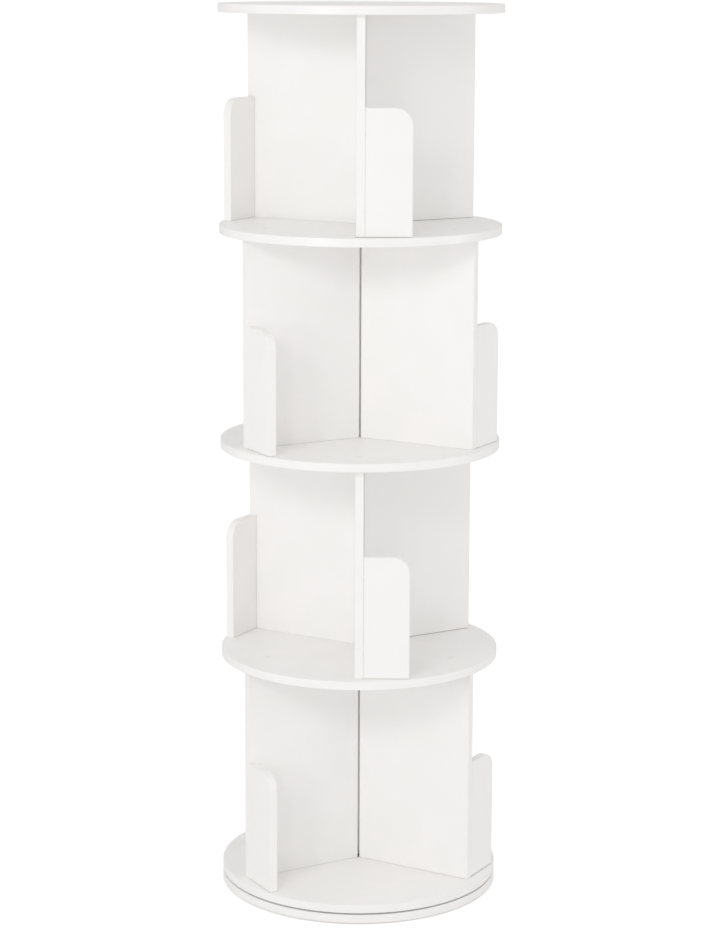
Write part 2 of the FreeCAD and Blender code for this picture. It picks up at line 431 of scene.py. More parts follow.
NOISE, RANGE, MIX, BUMP = "ShaderNodeTexNoise", "ShaderNodeMapRange", "ShaderNodeMix", "ShaderNodeBump"
MIX_A, MIX_B, MIX_RESULT = 6, 7, 2  # the colour sockets of a mix node
SRGB_FOOT, SRGB_SLOPE = 0.04045, 12.92  # sRGB is straight up to the foot
SRGB_OFFSET, SRGB_POWER = 0.055, 2.4  # and a power curve above it

Sockets = dict[str, bpy.types.NodeSocket]


def linear(colour: str) -> tuple[float, float, float, float]:
    """Linear red, green, blue and alpha of an sRGB hex colour.

    A value v becomes v / slope up to the foot, and ((v + offset) / (1 + offset)) to the power above it.

    Args:
        colour: Six hex digits after a hash sign.

    Returns:
        The colour as light, with full alpha.
    """
    values = np.array(list(bytes.fromhex(colour[1:]))) / 255
    curve = ((values + SRGB_OFFSET) / (1 + SRGB_OFFSET)) ** SRGB_POWER
    return (*np.where(values <= SRGB_FOOT, values / SRGB_SLOPE, curve).tolist(), 1.0)


def across(size: float) -> float:
    """Scale of a texture whose features are as wide as a size in millimetres."""
    return 1 / (size * METRES)


def add(
    tree: bpy.types.NodeTree,
    kind: str,
    settings: dict[str | int, object] | None = None,
    links: dict[str | int, bpy.types.NodeSocket] | None = None,
) -> bpy.types.Node:
    """Add one node with its settings and links.

    Args:
        tree: Node tree that gets the node.
        kind: Blender's name of the node type.
        settings: Values by input name or number, or by property name.
        links: Output sockets by the input name or number that they feed.

    Returns:
        The new node.
    """
    node = tree.nodes.new(kind)
    for key, value in (settings or {}).items():
        if isinstance(key, int) or key in node.inputs:
            node.inputs[key].default_value = value
        else:
            setattr(node, key, value)
    for key, socket in (links or {}).items():
        tree.links.new(socket, node.inputs[key])
    return node


def empty_tree(owner: bpy.types.Material | bpy.types.World) -> bpy.types.NodeTree:
    """Emptied node tree of a material or a world.

    Args:
        owner: The material or world.

    Returns:
        Its node tree, without nodes.
    """
    owner.use_nodes = True
    owner.node_tree.nodes.clear()
    return owner.node_tree


@dataclass(frozen=True)
class Finish:
    """Surface of a real material: a tone that drifts between two colours, and a grain in gloss and height.

    Attributes:
        title: Name of the real finish.
        slot: Material slot of the record that it belongs to; not used.
        light: Lighter colour.
        shade: Darker colour.
        drift_size: Width of the patches of tone, in millimetres.
        drift_span: Values of the drift's noise at which the shade ends and the light colour is full.
        drift_detail: Number of finer layers in the drift.
        grain_size: Width of the grain, in millimetres.
        grain_depth: Depth of the grain, in millimetres.
        grain_detail: Number of finer layers in the grain.
        roughness: Roughness where the grain is low and where it is high.
        ior: Index of refraction.
        metallic: 1 for a metal.
        sheen: Weight of the soft sheen of loose fibres.
    """

    title: str = "plain"
    slot: Slot = Slot.MELAMINE
    light: str = "#FFFFFF"
    shade: str = "#EEEEEE"
    drift_size: float = 20.0
    drift_span: Pair = (0.35, 0.65)
    drift_detail: float = 3.0
    grain_size: float = 2.0
    grain_depth: float = 0.01
    grain_detail: float = 1.0
    roughness: Pair = (0.4, 0.5)
    ior: float = 1.5
    metallic: float = 0.0
    sheen: float = 0.0

    def constants(self) -> dict[str, object]:
        """Values on the shader's own sockets."""
        return {"IOR": self.ior, "Metallic": self.metallic, "Sheen Weight": self.sheen}

    def patterns(self, tree: bpy.types.NodeTree, place: bpy.types.NodeSocket) -> Sockets:
        """Lay the patterns of the surface.

        Args:
            tree: Node tree that gets the patterns.
            place: Object coordinates in metres.

        Returns:
            Output sockets by the name of the shader's input that they feed.
        """
        drift_size = {"Scale": across(self.drift_size), "Detail": self.drift_detail}
        drift = add(tree, NOISE, drift_size, {"Vector": place}).outputs["Fac"]
        low, high = self.drift_span
        span = {"From Min": low, "From Max": high, "interpolation_type": "SMOOTHSTEP"}
        share = add(tree, RANGE, span, {"Value": drift}).outputs["Result"]
        tones = {"data_type": "RGBA", MIX_A: linear(self.shade), MIX_B: linear(self.light)}
        tone = add(tree, MIX, tones, {"Factor": share}).outputs[MIX_RESULT]
        grain_size = {"Scale": across(self.grain_size), "Detail": self.grain_detail}
        grain = add(tree, NOISE, grain_size, {"Vector": place}).outputs["Fac"]
        ends = {"To Min": self.roughness[0], "To Max": self.roughness[1]}
        gloss = add(tree, RANGE, ends, {"Value": grain}).outputs["Result"]
        relief = add(tree, BUMP, {"Distance": self.grain_depth * METRES}, {"Height": grain})
        return {"Base Color": tone, "Roughness": gloss, "Normal": relief.outputs["Normal"]}

    def material(self) -> bpy.types.Material:
        """Build the material, with its patterns in object coordinates.

        Returns:
            The material.
        """
        material = bpy.data.materials.new(self.title)
        tree = empty_tree(material)
        place = add(tree, "ShaderNodeTexCoord").outputs["Object"]
        shader = add(tree, "ShaderNodeBsdfPrincipled", self.constants(), self.patterns(tree, place))
        add(tree, "ShaderNodeOutputMaterial", links={"Surface": shader.outputs["BSDF"]})
        return material


@dataclass(frozen=True)
class PearlLaminate(Finish):
    """White melamine laminate, pressed on particle board against a pearl-grained steel plate.

    The press leaves a satin sheen with very fine dimples. The thin resin paper lets the chips under it show
    as a faint unevenness, which a flat light across the board brings out.
    """

    title: str = "white_pearl_melamine_laminate"
    light: str = "#FDFBFA"
    shade: str = "#FBFAF8"
    drift_size: float = 60.0
    grain_size: float = 2.2  # the real dimples are near 0.5 mm; drawn coarser so that they show at all
    grain_depth: float = 0.008
    roughness: Pair = (0.40, 0.47)
    chip_size: float = 9.0
    chip_depth: float = 0.01
    chip_detail: float = 2.0

    def patterns(self, tree: bpy.types.NodeTree, place: bpy.types.NodeSocket) -> Sockets:
        """Lay the pearl grain over the unevenness of the chips.

        Args:
            tree: Node tree that gets the patterns.
            place: Object coordinates in metres.

        Returns:
            Output sockets by the name of the shader's input that they feed.
        """
        sockets = super().patterns(tree, place)
        size = {"Scale": across(self.chip_size), "Detail": self.chip_detail}
        chips = add(tree, NOISE, size, {"Vector": place}).outputs["Fac"]
        over = {"Height": chips, "Normal": sockets["Normal"]}
        uneven = add(tree, BUMP, {"Distance": self.chip_depth * METRES}, over)
        return sockets | {"Normal": uneven.outputs["Normal"]}


@dataclass(frozen=True)
class EdgeBand(Finish):
    """White plastic edge band, one millimetre thick, ironed on and rounded over with a scraper.

    It is a shade warmer and smoother than the laminate, so it takes a clearer highlight along its arris, and
    the scraper's chatter breaks that highlight up a little.
    """

    title: str = "white_plastic_edge_band"
    light: str = "#FDFBF9"
    shade: str = "#FBF9F7"
    drift_size: float = 40.0
    grain_size: float = 6.0
    grain_depth: float = 0.012
    roughness: Pair = (0.34, 0.40)
    ior: float = 1.52


@dataclass(frozen=True)
class GlueLine(Finish):
    """Hot-melt glue between the laminate and the edge band, trimmed flush.

    It reads as a hairline, slightly darker and warmer than the board.
    """

    title: str = "trimmed_hot_melt_glue_line"
    light: str = "#E6E3DA"
    shade: str = "#D8D4C8"
    drift_size: float = 5.0
    drift_span: Pair = (0.3, 0.7)
    grain_size: float = 1.0
    grain_depth: float = 0.02
    grain_detail: float = 2.0
    roughness: Pair = (0.45, 0.65)


@dataclass(frozen=True)
class SawnCore(Finish):
    """Sawn edge of three-layer particle board, left bare where another board covers it.

    Pale and dark chips lie flat in the board, so the edge shows short streaks with small pits between them.
    """

    title: str = "sawn_particle_board_core"
    light: str = "#C8AE86"
    shade: str = "#8A6C49"
    drift_size: float = 3.5
    drift_span: Pair = (0.3, 0.62)
    grain_size: float = 1.2
    grain_depth: float = 0.08
    grain_detail: float = 3.0
    roughness: Pair = (0.82, 0.95)
    chip_size: float = 2.2
    chip_length: float = 3.0  # times the thickness of a chip
    pit_depth: float = 0.2

    def patterns(self, tree: bpy.types.NodeTree, place: bpy.types.NodeSocket) -> Sockets:
        """Lay the tones and the grain on flattened chips, with a pit at the edge of each chip.

        Args:
            tree: Node tree that gets the patterns.
            place: Object coordinates in metres.

        Returns:
            Output sockets by the name of the shader's input that they feed.
        """
        mapping = add(tree, "ShaderNodeMapping", {"Scale": (1.0, 1.0, self.chip_length)}, {"Vector": place})
        flat = mapping.outputs["Vector"]
        sockets = super().patterns(tree, flat)
        chips = add(tree, "ShaderNodeTexVoronoi", {"Scale": across(self.chip_size)}, {"Vector": flat})
        over = {"Height": chips.outputs["Distance"], "Normal": sockets["Normal"]}
        pits = add(tree, BUMP, {"Distance": self.pit_depth * METRES, "invert": True}, over)
        return sockets | {"Normal": pits.outputs["Normal"]}


@dataclass(frozen=True)
class MouldedPlastic(Finish):
    """Injection-moulded polyethylene cap.

    Waxy and a little greyer than the board, with a soft highlight on its dome and faint flow marks.
    """

    title: str = "moulded_white_polyethylene"
    slot: Slot = Slot.PLASTIC
    light: str = "#F6F4F1"
    shade: str = "#F1EFEC"
    drift_size: float = 4.0
    drift_span: Pair = (0.3, 0.7)
    grain_size: float = 1.5
    grain_depth: float = 0.01
    grain_detail: float = 2.0
    roughness: Pair = (0.36, 0.46)
    ior: float = 1.51


@dataclass(frozen=True)
class ZincPlate(Finish):
    """Steel with a bright zinc plate, passivated clear.

    Cold grey with faint blue and straw patches, and small scratches from tumbling that blur its reflections.
    """

    title: str = "bright_zinc_plated_steel"
    slot: Slot = Slot.STEEL
    light: str = "#C9CDD0"
    shade: str = "#B4B3A8"
    drift_size: float = 5.0
    drift_span: Pair = (0.35, 0.6)
    grain_size: float = 0.6
    grain_depth: float = 0.004
    grain_detail: float = 2.0
    roughness: Pair = (0.25, 0.42)
    metallic: float = 1.0


@dataclass(frozen=True)
class NaturalNylon(Finish):
    """Moulded nylon in its own colour.

    Cream white and faintly cloudy, with a dull sheen where it has been rubbed.
    """

    title: str = "natural_moulded_nylon"
    slot: Slot = Slot.NYLON
    light: str = "#ECE9DF"
    shade: str = "#E0DCCF"
    drift_size: float = 6.0
    drift_span: Pair = (0.3, 0.7)
    grain_size: float = 1.5
    grain_depth: float = 0.02
    grain_detail: float = 2.0
    roughness: Pair = (0.42, 0.55)
    ior: float = 1.53


@dataclass(frozen=True)
class BareBeech(Finish):
    """Turned beech, not finished.

    Pinkish tan with short dark flecks along the grain.
    """

    title: str = "bare_turned_beech"
    slot: Slot = Slot.BEECH
    light: str = "#DDBB8C"
    shade: str = "#C79E6B"
    drift_size: float = 3.0
    grain_size: float = 0.8
    grain_depth: float = 0.05
    grain_detail: float = 3.0
    roughness: Pair = (0.65, 0.75)
    fleck: str = "#9C7145"
    fleck_size: float = 0.5
    fleck_span: Pair = (0.64, 0.72)

    def patterns(self, tree: bpy.types.NodeTree, place: bpy.types.NodeSocket) -> Sockets:
        """Lay the flecks over the wood's own tone.

        Args:
            tree: Node tree that gets the patterns.
            place: Object coordinates in metres.

        Returns:
            Output sockets by the name of the shader's input that they feed.
        """
        sockets = super().patterns(tree, place)
        flecks = add(tree, NOISE, {"Scale": across(self.fleck_size)}, {"Vector": place}).outputs["Fac"]
        span = {"From Min": self.fleck_span[0], "From Max": self.fleck_span[1]}
        marks = add(tree, RANGE, span, {"Value": flecks}).outputs["Result"]
        over = {"Factor": marks, MIX_A: sockets["Base Color"]}
        tone = add(tree, MIX, {"data_type": "RGBA", MIX_B: linear(self.fleck)}, over)
        return sockets | {"Base Color": tone.outputs[MIX_RESULT]}


@dataclass(frozen=True)
class PressedFelt(Finish):
    """Pressed grey wool felt.

    Matted fibres of mixed greys with a soft, dull surface.
    """

    title: str = "pressed_grey_wool_felt"
    slot: Slot = Slot.FELT
    light: str = "#8E8B86"
    shade: str = "#5C5956"
    drift_size: float = 1.6
    drift_span: Pair = (0.3, 0.7)
    grain_size: float = 0.9
    grain_depth: float = 0.3
    grain_detail: float = 4.0
    roughness: Pair = (0.9, 1.0)
    sheen: float = 0.3


@dataclass(frozen=True)
class StudioPaper(Finish):
    """Matt white background paper, rolled out as a floor.

    It looks plain white, as paper does that is lit more than what stands on it, with only a faint shadow.
    """

    title: str = "matt_white_studio_paper"
    light: str = "#F5F5F5"
    shade: str = "#F3F3F3"
    drift_size: float = 400.0
    grain_size: float = 3.0
    grain_depth: float = 0.02
    roughness: Pair = (0.85, 0.95)
    glow: float = 0.36  # extra light that the eye gets from the paper, as a share of white

    def constants(self) -> dict[str, object]:
        """Values on the shader's own sockets, with the colour of the extra light."""
        return super().constants() | {"Emission Color": (self.glow, self.glow, self.glow, 1.0)}

    def patterns(self, tree: bpy.types.NodeTree, place: bpy.types.NodeSocket) -> Sockets:
        """Lay the paper's grain, and let its extra light reach the eye but not the tower."""
        path = add(tree, "ShaderNodeLightPath")
        return super().patterns(tree, place) | {"Emission Strength": path.outputs["Is Camera Ray"]}


BOARD_FINISHES = (PearlLaminate(), EdgeBand(), GlueLine(), SawnCore())


@cache
def material_of(finish: Finish) -> bpy.types.Material:
    """The material of a finish, built once."""
    return finish.material()


# Pieces


def height_span(node: str) -> Pair:
    """Lowest and highest level of a solid."""
    low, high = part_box(node)
    return round(low[2] / METRES, DECIMALS), round(high[2] / METRES, DECIMALS)


def board_name(level: int, tiers: int) -> str:
    """Name of the turning board that lies on a number of tiers."""
    return "bottom_board" if level == 0 else "top_board" if level == tiers else f"shelf_{level}"


def make_object(name: str, data: bpy.types.ID) -> bpy.types.Object:
    """Make an object and put it in the scene.

    Args:
        name: Name of the object.
        data: Mesh, light or camera that it shows.

    Returns:
        The object, at the origin.
    """
    made = bpy.data.objects.new(name, data)
    bpy.context.scene.collection.objects.link(made)
    return made


def dressed(name: str, shape: Shape, finishes: tuple[Finish, ...]) -> bpy.types.Object:
    """Make the mesh of a shape and give it its finishes.

    Args:
        name: Name of the object and of its mesh.
        shape: Its surface in millimetres.
        finishes: Finishes in the order of the surface's zones.

    Returns:
        The object, at the origin.
    """
    mesh = bpy.data.meshes.new(name)
    mesh.vertices.add(len(shape.points))
    mesh.vertices.foreach_set("co", (shape.points * METRES).astype(np.float32).ravel())
    mesh.loops.add(len(shape.corners))
    mesh.loops.foreach_set("vertex_index", shape.corners.astype(np.int32))
    mesh.polygons.add(len(shape.starts))
    mesh.polygons.foreach_set("loop_start", shape.starts.astype(np.int32))
    mesh.polygons.foreach_set("material_index", shape.zones.astype(np.int32))
    mesh.update(calc_edges=True)
    mesh.normals_split_custom_set(shape.normals.tolist())
    for finish in finishes:
        mesh.materials.append(material_of(finish))
    return make_object(name, mesh)


def make_piece(name: str, node: str, shape: Shape, body: Body, *finishes: Finish) -> bpy.types.Object:
    """Make a piece in the place of its solid.

    Args:
        name: Name of the piece.
        node: CAD node that it stands for.
        shape: Its surface in millimetres.
        body: Body that carries it.
        finishes: Finishes in the order of the surface's zones.

    Returns:
        The finished piece.
    """
    piece = dressed(name, shape, finishes)
    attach(piece, body.value)
    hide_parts(node)
    log.info("%s: %d faces, stands for %s", name, len(shape.starts), node)
    return piece


@dataclass(frozen=True)
class Banding:
    """Edge band of a board, with a glue line at each of its sides.

    Attributes:
        thickness: Thickness of the band, which is its width on the board's face.
        glue: Width of a glue line.
        arris: Radius to which the band's edges are rounded over.
        steps: Straight pieces in the arris.
    """

    thickness: float = 1.0
    glue: float = 0.15
    arris: float = 0.8
    steps: int = 5

    @property
    def inset(self) -> float:
        """Distance from the board's edge to its laminate."""
        return self.thickness + self.glue

    def profile(self, bottom: float, top: float) -> Line:
        """Profile (offset outwards, height) from the lower glue line round the band to the upper one.

        Args:
            bottom: Height of the board's underside.
            top: Height of its upper face.

        Returns:
            The profile.
        """
        corners = [
            (-self.inset, bottom), (-self.thickness, bottom), (0, bottom),
            (0, top), (-self.thickness, top), (-self.inset, top),
        ]
        zones = [Zone.GLUE_LINE, Zone.EDGING, Zone.EDGING, Zone.EDGING, Zone.GLUE_LINE, Zone.GLUE_LINE]
        return bent_line(corners, [0, 0, self.arris, self.arris, 0, 0], zones, closed=False, steps=self.steps)


@dataclass(frozen=True)
class Hole:
    """Blind round hole in the face of a board.

    Attributes:
        azimuth: Direction of the hole from the tower's axis.
        section: Corners (radius, depth) from the edge of the hole to the middle of its bottom.
    """

    azimuth: float
    section: tuple[Pair, ...]


@dataclass
class RoundBoard:
    """Round board with a banded rim, and blind holes for screws and caps in its faces."""

    node: str
    body: Body = Body.TOWER
    upper_holes: tuple[Hole, ...] = ()
    lower_holes: tuple[Hole, ...] = ()
    upper_centre: tuple[Pair, ...] = ()  # corners (radius, depth) of a hole in the middle of the face
    lower_centre: tuple[Pair, ...] = ()
    radius: float = 200.0
    banding: Banding = Banding()
    hole_margin: float = 10.0  # from the middle of a hole to the edge of the square that holds it
    columns: int = 384
    cells: int = 8  # grid cells across the square that holds a hole
    rings: int = 3  # grid cells from the middle of the board to that square
    fill: tuple[float, ...] = (0.0, 0.25, 0.6, 1.0)  # rings from a hole's edge to its square's edge

    def face(self, height: float, up: int, holes: tuple[Hole, ...], centre: tuple[Pair, ...]) -> list[Patch]:
        """Flat face with its holes.

        The face is a grid of rings and spokes. Around each hole a square of cells is left out, and rings that
        change evenly from the square's edge to the hole's edge fill it. Each hole's wall is its section
        carried round the hole's axis.

        Args:
            height: Height of the face.
            up: 1 for the upper face and -1 for the underside.
            holes: Holes away from the middle.
            centre: Corners (radius, depth) of a hole in the middle, or nothing.

        Returns:
            The patches of the face.
        """
        rim = circle(self.radius, self.columns)
        spokes = rim.normals
        start = centre[0][0] if centre else 0.0
        inside, outside = SCREW_CIRCLE - self.hole_margin, SCREW_CIRCLE + self.hole_margin
        radii = np.concatenate(
            [np.linspace(start, inside, self.rings + 1)[:-1], np.linspace(inside, outside, self.cells + 1)]
        )
        edge = rim.points - self.banding.inset * spokes
        plan = np.concatenate([radii[:, None, None] * spokes, edge[None]])
        open_faces = np.zeros((len(plan) - 1, self.columns), bool)
        rows = slice(self.rings, self.rings + self.cells)
        patches = [turned(self.wall(centre, height, up), self.columns)] if centre else []
        for hole in holes:
            first = round(hole.azimuth / 360 * self.columns) - self.cells // 2
            side = (first + np.arange(self.cells + 1)) % self.columns
            open_faces[rows, side[:-1]] = True
            patches += self.hole(plan[self.rings : rows.stop + 1, side], hole, height, up)
        return patches + [flat_patch(plan, height, up, Zone.FACE, open_faces)]

    def wall(self, section: tuple[Pair, ...], height: float, up: int) -> Line:
        """Section of a hole as a profile: from its edge down in an upper face, or back up in an underside.

        Args:
            section: Corners (radius, depth) from the edge of the hole to the middle of its bottom.
            height: Height of the face.
            up: 1 for the upper face and -1 for the underside.

        Returns:
            The profile, as points (radius, height).
        """
        corners = [(radius, height - up * depth) for radius, depth in section][::up]
        zones = [Zone.CORE] * len(corners)
        return bent_line(corners, [0.0] * len(corners), zones, closed=False, steps=1)

    def hole(self, block: Array, hole: Hole, height: float, up: int) -> list[Patch]:
        """Fill of the square round one hole, and the wall of the hole.

        The fill's point on a ring with share s is hole edge * (1 - s) + square edge * s.

        Args:
            block: Places (x, y) of the square's grid.
            hole: The hole.
            height: Height of the face.
            up: 1 for the upper face and -1 for the underside.

        Returns:
            The two patches.
        """
        edge = np.concatenate([block[0, :-1], block[:-1, -1], block[-1, :0:-1], block[::-1, 0]])
        angle = math.radians(hole.azimuth)
        middle = SCREW_CIRCLE * np.array([math.cos(angle), math.sin(angle)])
        spokes = unit(edge - middle)
        share = np.array(self.fill)[:, None, None]
        plan = (middle + hole.section[0][0] * spokes) * (1 - share) + edge * share
        axis = Line(np.broadcast_to(middle, spokes.shape), spokes, spokes, np.zeros(len(spokes) - 1, int))
        wall = carried(axis, self.wall(hole.section, height, up))
        return [flat_patch(plan, height, up, Zone.FACE), wall]

    def build(self) -> bpy.types.Object:
        """Make the board in the place of its solid.

        Returns:
            The piece.
        """
        bottom, top = height_span(self.node)
        patches = [carried(circle(self.radius, self.columns), self.banding.profile(bottom, top))]
        patches += self.face(top, 1, self.upper_holes, self.upper_centre)
        patches += self.face(bottom, -1, self.lower_holes, self.lower_centre)
        return make_piece(self.node + "_veneered", self.node, weld(patches), self.body, *BOARD_FINISHES)


@dataclass
class BoardStack:
    """All round boards, with the holes of the tiers between them."""

    tiers: int = 4
    panels: int = 3
    first_azimuth: float = -30.0
    cap_seat: tuple[Pair, ...] = ((4.05, 0.0), (4.05, 2.0), (0.0, 2.0))
    countersink: tuple[Pair, ...] = ((3.7, 0.0), (2.1, 2.1), (2.1, 4.0), (0.0, 4.0))
    nut_recess: tuple[Pair, ...] = ((7.25, 0.0), (7.25, 7.2), (0.0, 7.2))
    bolt_head_recess: tuple[Pair, ...] = ((9.0, 0.0), (9.0, 4.0), (0.0, 4.0))

    def azimuths(self, tier: int) -> list[float]:
        """Directions of a tier's panels. Every second tier is turned by half the panel spacing.

        Args:
            tier: Number of the tier, from 1.

        Returns:
            One azimuth for each panel.
        """
        spacing = 360.0 / self.panels
        start = self.first_azimuth + spacing / 2 * ((tier + 1) % 2)
        return [start + spacing * index for index in range(self.panels)]

    def holes(self, tier: int, section: tuple[Pair, ...]) -> tuple[Hole, ...]:
        """Holes over or under the panels of a tier.

        Args:
            tier: Number of the tier.
            section: Corners (radius, depth) of each hole.

        Returns:
            One hole for each panel, or none where there is no such tier.
        """
        if not 1 <= tier <= self.tiers:
            return ()
        return tuple(Hole(azimuth, section) for azimuth in self.azimuths(tier))

    def build(self) -> list[bpy.types.Object]:
        """Make the base board and the turning boards.

        Returns:
            The pieces, from the lowest up.
        """
        boards = [RoundBoard("base_board", Body.BASE, lower_centre=self.bolt_head_recess)]
        for level in range(self.tiers + 1):
            boards.append(
                RoundBoard(
                    board_name(level, self.tiers),
                    upper_holes=self.holes(level, self.cap_seat),
                    lower_holes=self.holes(level + 1, self.countersink),
                    upper_centre=self.nut_recess if level == 0 else (),
                )
            )
        return [board.build() for board in boards]


@dataclass(frozen=True)
class Fit:
    """How closely the pieces of one tier meet, as they do when a tower is screwed together by hand.

    Attributes:
        under_panels: Hairline left open under the panel in each direction of the tier.
        under_stops: Hairline left open under each stop.
        panel_inner: Distance of the panels' inner ends from the axis.
    """

    under_panels: tuple[float, ...]
    under_stops: tuple[float, ...]
    panel_inner: float


FITS = {
    1: Fit((0.2, 0.1, 0.1), (0.9, 0.4, 0.4), 4.388),
    2: Fit((0.5, 0.0, 0.1), (0.4, 0.12, 0.3), 4.0),
    3: Fit((0.05, 0.1, 0.1), (0.35, 0.3, 0.3), 4.388),
    4: Fit((0.38, 0.0, 0.45), (0.4, 0.1, 0.42), 4.0),
}


@dataclass
class Tier:
    """Upright panels of one tier and the stops at their outer edges."""

    number: int
    azimuths: list[float]
    fit: Fit
    banding: Banding = Banding()
    inner_arris: float = 1.2
    inner_band: float = 2.0  # width of the inner end's band on the panel's faces
    sawn_arris: float = 0.4
    sawn_steps: int = 2
    stop_width: float = 64.0
    stop_corner: float = 24.0
    stop_corner_steps: int = 16
    stop_seam: float = 0.15  # hairline between a stop and its panel

    def panel(self, height: float, gap: float) -> Shape:
        """Panel along +X: its plan, with a band on each end, carried from its foot to its head.

        Args:
            height: Height of the panel's solid.
            gap: Hairline left open under it.

        Returns:
            The panel, from height 0 up.
        """
        inner, glue = self.fit.panel_inner, PANEL_OUTER - self.banding.inset
        xs = [inner, inner + self.inner_band, glue, PANEL_OUTER - self.banding.thickness, PANEL_OUTER]
        radii = [self.inner_arris, 0, 0, 0, self.banding.arris]
        zones = [Zone.EDGING, Zone.FACE, Zone.GLUE_LINE, Zone.EDGING, Zone.EDGING]
        plan = bent_line(
            [(x, -STOCK / 2) for x in xs] + [(x, STOCK / 2) for x in reversed(xs)],
            radii + radii[::-1],
            zones + zones[-2::-1] + [Zone.EDGING],
        )
        inset = -self.sawn_arris
        rise = bent_line(
            [(inset, gap), (0.0, gap), (0.0, height), (inset, height)],
            [0.0, self.sawn_arris, self.sawn_arris, 0.0],
            closed=False,
            steps=self.sawn_steps,
        )
        sides = carried(plan, rise, zones_along_outline=True)
        return weld([sides, lid(plan, inset, gap, -1, Zone.CORE), lid(plan, inset, height, 1, Zone.CORE)])

    def stop(self, height: float, gap: float) -> Shape:
        """Stop across the outer end of a panel that lies along +X.

        Its outline is drawn flat, with one rounded corner, and the profile of the banded edge is carried
        round it. Then it is stood up, so that its thickness runs along X.

        Args:
            height: Height of the stop's solid.
            gap: Hairline left open under it.

        Returns:
            The stop, from height 0 up.
        """
        near, far = STOCK / 2 + self.stop_seam, STOCK / 2 + self.stop_width
        outline = bent_line(
            [(near, gap), (far, gap), (far, height), (near, height)],
            [0.0, 0.0, self.stop_corner, 0.0],
            steps=self.stop_corner_steps,
        )
        edge, inset = carried(outline, self.banding.profile(0.0, STOCK)), -self.banding.inset
        flat = weld([edge, lid(outline, inset, 0.0, -1), lid(outline, inset, STOCK, 1)])
        return flat.stood_up().placed(x=PANEL_OUTER - STOCK)

    def build(self) -> list[bpy.types.Object]:
        """Make the panels and stops in the places of their solids.

        Returns:
            The pieces.
        """
        made = []
        gaps = zip(self.fit.under_panels, self.fit.under_stops)
        for index, (azimuth, (panel_gap, stop_gap)) in enumerate(zip(self.azimuths, gaps), start=1):
            for kind, draw, gap in (("panel", self.panel, panel_gap), ("stop", self.stop, stop_gap)):
                node = f"tier_{self.number}_{kind}_{index}"
                bottom, top = height_span(node)
                shape = draw(top - bottom, gap).placed(z=bottom, azimuth=azimuth)
                made.append(make_piece(node + "_veneered", node, shape, Body.TOWER, *BOARD_FINISHES))
        return made


@dataclass
class ScrewCaps:
    """Domed caps over the screw heads in the upper faces of the boards."""

    azimuths: dict[int, list[float]]
    cap_radius: float = 4.0
    dome: float = 0.8  # height of the middle over the board
    edge: float = 0.35  # radius of the rounded edge, which stands on the board
    stem: float = 1.9  # part of the cap inside its seat
    foot_arris: float = 0.2
    columns: int = 40
    rings: int = 9

    def cap(self) -> Shape:
        """Cap about its own axis, with the board's face at height 0: stem, rounded edge and dome.

        The dome falls from its middle to its edge as a parabola: at share s of the crown's radius its height
        over the edge is rise * (1 - s squared), and its slope is 2 * rise * s / crown's radius.

        Returns:
            The cap.
        """
        crown, rise = self.cap_radius - self.edge, self.dome - self.edge
        corners = [
            (0.0, -self.stem), (self.cap_radius, -self.stem), (self.cap_radius, self.edge), (crown, self.edge)
        ]
        flank = bent_line(corners, [0.0, self.foot_arris, self.edge, 0.0], closed=False)
        share = np.linspace(1, 0, self.rings)
        points = np.stack([crown * share, self.edge + rise * (1 - share**2)], axis=1)
        normals = unit(np.stack([2 * rise / crown * share, np.ones_like(share)], axis=1))
        dome = Line(points, normals, normals, np.zeros(self.rings - 1, int))
        return weld([turned(flank, self.columns), turned(dome, self.columns)])

    def build(self) -> bpy.types.Object:
        """Make all caps as one piece.

        Returns:
            The piece.
        """
        cap, caps = self.cap(), []
        for tier, azimuths in self.azimuths.items():
            face = height_span(board_name(tier, max(self.azimuths)))[1]
            caps.append(repeated(cap, azimuths, SCREW_CIRCLE, face))
        return make_piece("screw_caps_moulded", "screw_plugs", joined(caps), Body.TOWER, MouldedPlastic())


